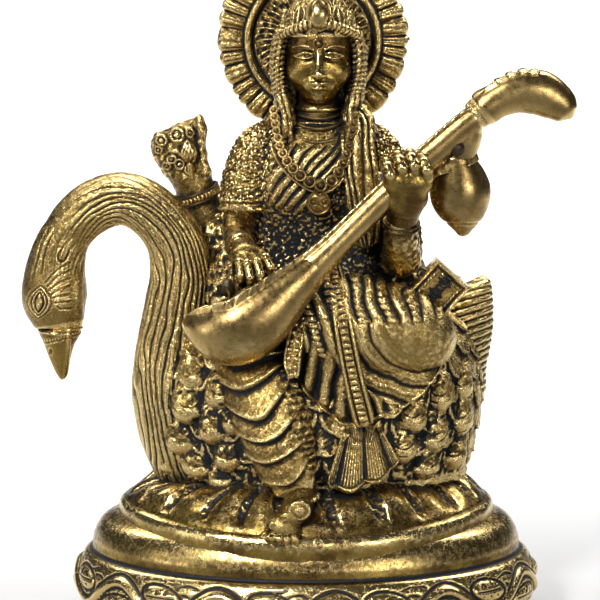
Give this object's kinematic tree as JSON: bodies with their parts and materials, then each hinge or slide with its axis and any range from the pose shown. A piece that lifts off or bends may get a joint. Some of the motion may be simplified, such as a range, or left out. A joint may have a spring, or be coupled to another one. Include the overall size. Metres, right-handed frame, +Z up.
{
  "type": "hindu deity statue",
  "caption": "Cast brass statuette of a four-armed goddess playing a veena, seated on a swan with an arched neck, with a fluted halo, on an oval stepped plinth.",
  "frame": {"origin": "middle of the statuette's bounding box, on the plane that the plinth's foot rests on", "axes": "+Z up, the goddess faces -Y, +X is on the viewer's right, towards the veena's peg head"},
  "size_m": [0.1006, 0.06, 0.1255],
  "materials": {
    "cast_brass": "aged sand-cast, dark in the recesses",
    "polished_brass": "hand polished and worn",
    "dark_brass": "dark patina",
    "hidden_pins": "plain turned"
  },
  "bodies": {
    "root": {"plinth_shell": "cast_brass", "water_mound": "cast_brass", "base_screws": "hidden_pins", "swan_body": "cast_brass", "breast_feathers": "cast_brass", "near_wing": "cast_brass", "far_wing": "cast_brass", "swan_tail": "cast_brass", "swan_neck": "cast_brass", "swan_head": "cast_brass", "swan_beak": "polished_brass", "swan_neck_peg": "hidden_pins", "torso": "cast_brass", "skirt": "cast_brass", "hanging_leg": "cast_brass", "foot": "polished_brass", "hem_fan": "cast_brass", "centre_pleat": "cast_brass", "sash_end": "cast_brass", "head": "polished_brass", "head_peg": "hidden_pins", "hair_veil": "dark_brass", "tiara": "cast_brass", "crown_jewel": "polished_brass", "brow_mark": "polished_brass", "halo_disc": "dark_brass", "halo_petals": "cast_brass", "halo_bracket": "cast_brass", "halo_rivets": "hidden_pins", "necklace_beads": "polished_brass", "pendant": "polished_brass", "shawl": "cast_brass", "right_arm_front": "cast_brass", "right_arm_rear": "cast_brass", "flower": "polished_brass", "left_arm_front": "cast_brass", "left_arm_rear": "cast_brass", "arm_pegs": "hidden_pins", "bangles": "polished_brass", "book": "polished_brass", "veena_bowl": "polished_brass", "veena_neck": "polished_brass", "veena_collar": "dark_brass", "veena_peg_head": "polished_brass", "veena_pegs": "polished_brass", "upper_gourd": "polished_brass", "gourd_stud": "hidden_pins", "veena_rivet": "hidden_pins"}
  },
  "joints": []
}
